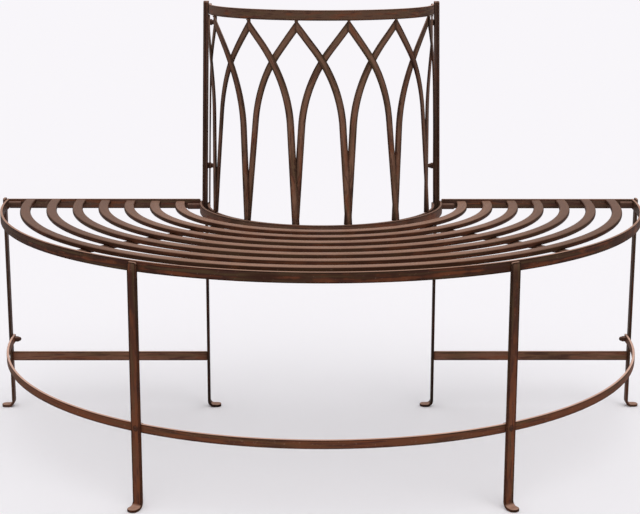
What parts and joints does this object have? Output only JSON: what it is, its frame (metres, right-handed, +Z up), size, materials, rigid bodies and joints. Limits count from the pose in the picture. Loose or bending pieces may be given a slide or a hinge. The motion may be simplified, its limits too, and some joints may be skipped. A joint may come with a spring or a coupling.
{
  "type": "half-round garden tree seat",
  "caption": "Half-round steel garden seat with ring slats and a curved back of crossing pointed arches, made to stand against a tree trunk.",
  "frame": {"origin": "centre of the bounding box at floor level", "axes": "+Z up; +X to the right of someone facing the seat; -Y the way the sitter faces, +Y to the tree"},
  "size_m": [1.318, 0.6413, 0.8291],
  "materials": {
    "frame_coating": "satin bronze-brown coating, mottled",
    "slat_coating": "satin bronze-brown coating, rubbed paler on top",
    "fastener_coating": "satin dark bronze-brown coating"
  },
  "bodies": {
    "root": {"seat_rim": "frame_coating", "seat_inner_ring": "frame_coating", "seat_slat_1": "slat_coating", "seat_slat_2": "slat_coating", "seat_slat_3": "slat_coating", "seat_slat_4": "slat_coating", "seat_slat_5": "slat_coating", "seat_slat_6": "slat_coating", "seat_slat_7": "slat_coating", "seat_support_left": "frame_coating", "seat_support_right": "frame_coating", "rear_rail_left": "frame_coating", "rear_rail_right": "frame_coating", "lower_ring": "frame_coating", "front_leg_left": "frame_coating", "front_leg_right": "frame_coating", "side_leg_left": "frame_coating", "side_leg_right": "frame_coating", "back_leg_left": "frame_coating", "back_leg_right": "frame_coating", "side_stretcher_left": "frame_coating", "side_stretcher_right": "frame_coating", "back_top_rail": "frame_coating", "back_bottom_rail": "frame_coating", "back_post_left": "frame_coating", "back_post_right": "frame_coating", "lattice_outer_strip_1": "frame_coating", "lattice_inner_strip_1": "frame_coating", "lattice_outer_strip_2": "frame_coating", "lattice_inner_strip_2": "frame_coating", "lattice_outer_strip_3": "frame_coating", "lattice_inner_strip_3": "frame_coating", "lattice_outer_strip_4": "frame_coating", "lattice_inner_strip_4": "frame_coating", "lattice_outer_strip_5": "frame_coating", "lattice_inner_strip_5": "frame_coating", "lattice_outer_strip_6": "frame_coating", "lattice_inner_strip_6": "frame_coating", "lattice_outer_strip_7": "frame_coating", "lattice_inner_strip_7": "frame_coating", "frame_bolts": "fastener_coating", "inner_ring_bolts": "fastener_coating", "seat_barrel_nuts": "fastener_coating", "lower_cap_nuts": "fastener_coating", "back_cap_nuts": "fastener_coating"}
  },
  "joints": []
}
